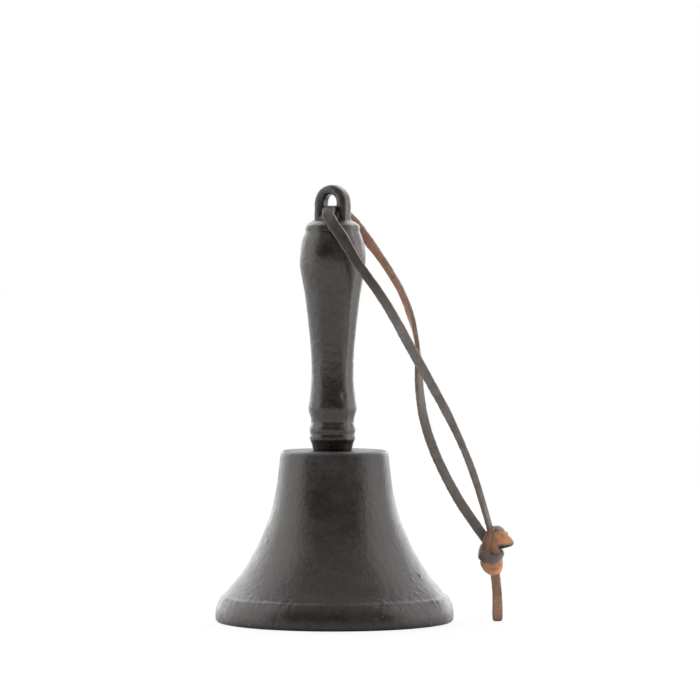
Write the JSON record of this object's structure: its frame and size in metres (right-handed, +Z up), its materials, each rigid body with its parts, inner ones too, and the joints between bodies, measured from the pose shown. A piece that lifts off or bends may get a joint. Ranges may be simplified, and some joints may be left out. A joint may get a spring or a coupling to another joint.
{
  "type": "hand bell",
  "caption": "Flared cast-iron hand bell on a turned handle with an eye, with a hung clapper inside and a knotted leather thong.",
  "frame": {"origin": "on the bell's axis, in the plane of its mouth, on which it stands", "axes": "+Z up along the bell and the handle; the eye of the handle is pierced along Y, and the clapper's main swing is in the XZ plane"},
  "size_m": [0.098, 0.0858, 0.1574],
  "materials": {
    "bell_iron": "sand-cast, waxed dark brown-black, satin",
    "handle_iron": "sand-cast, waxed dark brown-black, rubbed on its high places",
    "stud_steel": "plain steel, dull and slightly tarnished",
    "fastener_steel": "zinc-plated steel, dulled",
    "clapper_wire": "drawn steel wire, darkened",
    "ball_iron": "cast iron, dark, bright where it strikes",
    "thong_leather": "dark waxed grain side, tan suede flesh side"
  },
  "bodies": {
    "bell": {"bell_body": "bell_iron", "handle": "handle_iron", "eye_stud": "stud_steel", "crown_washer": "fastener_steel", "lock_washer": "fastener_steel", "crown_nut": "fastener_steel"},
    "link": {"clapper_link": "clapper_wire"},
    "clapper": {"clapper_rod": "clapper_wire", "clapper_ball": "ball_iron"},
    "thong": {"thong_loop": "thong_leather", "thong_knot": "thong_leather", "thong_tail": "thong_leather"}
  },
  "joints": [
    {"name": "link_swing", "type": "hinge", "parent": "bell", "child": "link", "pos_m": [0, 0, 0.0411], "axis": [1, 0, 0], "range_deg": [-6, 6]},
    {"name": "clapper_swing", "type": "hinge", "parent": "link", "child": "clapper", "pos_m": [0, 0, 0.03545], "axis": [0, 1, 0], "range_deg": [-45, 45]},
    {"name": "thong_swing", "type": "hinge", "parent": "bell", "child": "thong", "pos_m": [0, 0, 0.1486], "axis": [0, 1, 0], "range_deg": [-150, 0]}
  ]
}
